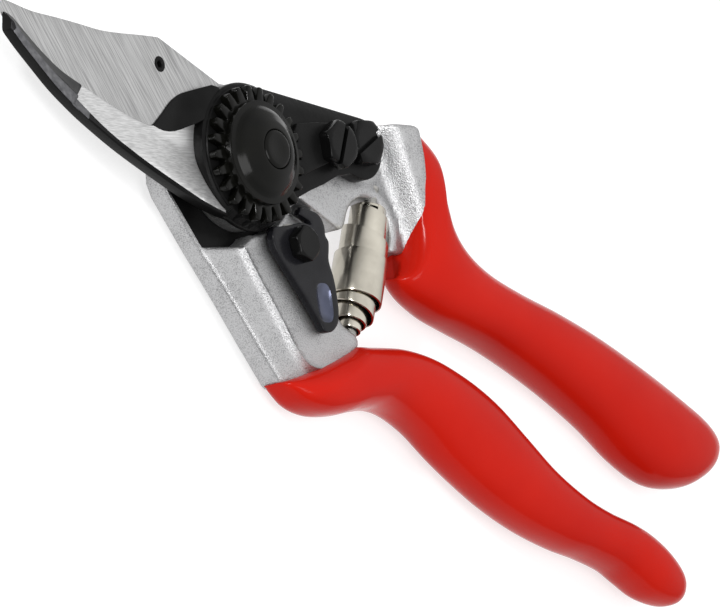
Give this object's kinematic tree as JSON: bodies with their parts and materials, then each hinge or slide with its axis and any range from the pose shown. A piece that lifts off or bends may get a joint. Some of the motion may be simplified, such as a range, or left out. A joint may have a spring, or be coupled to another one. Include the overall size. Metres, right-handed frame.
{
  "type": "pruning shears",
  "caption": "Bypass pruning shears shut and latched: curved blade passing a hooked counter blade, toothed pivot nut, thumb catch, volute spring and dipped red grips.",
  "frame": {"origin": "on the pivot axis, in the flat outer face of the pivot bolt's head, which is the plane the shears rest on", "axes": "+X from the blade tip towards the ends of the handles, +Y towards the handle that carries the counter blade, +Z out of the face with the toothed crown nut"},
  "size_m": [0.1975, 0.0624, 0.0168],
  "materials": {
    "ground_blade_steel": "ground across its face, with fine oblique scratches and a honed edge",
    "forged_aluminium": "forged and bead blasted, finely speckled, light grey",
    "red_vinyl": "dipped vinyl, glossy",
    "bush_bronze": "turned",
    "black_fastener_steel": "black oxide",
    "dowel_steel": "hardened and ground",
    "washer_steel": "plain stamped steel",
    "spring_steel": "bright steel",
    "black_catch_steel": "black oxide over a stamped plate, glossy in the thumb's dimple",
    "black_oxide_steel": "black oxide, ground bright along the bevel",
    "buffer_rubber": "moulded black rubber"
  },
  "bodies": {
    "upper": {"counter_blade": "black_oxide_steel", "upper_handle_core": "forged_aluminium", "upper_grip": "red_vinyl", "pivot_bolt": "black_fastener_steel", "crown_nut": "black_fastener_steel", "lock_segment": "black_fastener_steel", "segment_bolt": "black_fastener_steel", "tang_bolt": "black_fastener_steel", "tang_nuts": "black_fastener_steel", "stop_buffer": "buffer_rubber", "upper_spring_seat": "spring_steel", "volute_spring": "spring_steel"},
    "lower": {"cutting_blade": "ground_blade_steel", "lower_handle_core": "forged_aluminium", "lower_grip": "red_vinyl", "pivot_bush": "bush_bronze", "blade_screw": "black_fastener_steel", "blade_dowel": "dowel_steel", "catch_screw": "black_fastener_steel", "catch_washer": "washer_steel", "lower_spring_seat": "spring_steel"},
    "catch": {"thumb_catch": "black_catch_steel"}
  },
  "joints": [
    {"name": "pivot", "type": "hinge", "parent": "upper", "child": "lower", "pos_m": [0, 0, 0.008], "axis": [0, 0, -1], "range_deg": [0, 32], "deforming": ["volute_spring"]},
    {"name": "catch_pivot", "type": "hinge", "parent": "lower", "child": "catch", "pos_m": [0.016, -0.0092, 0.0101], "axis": [0, 0, 1], "range_deg": [0, 12]}
  ]
}
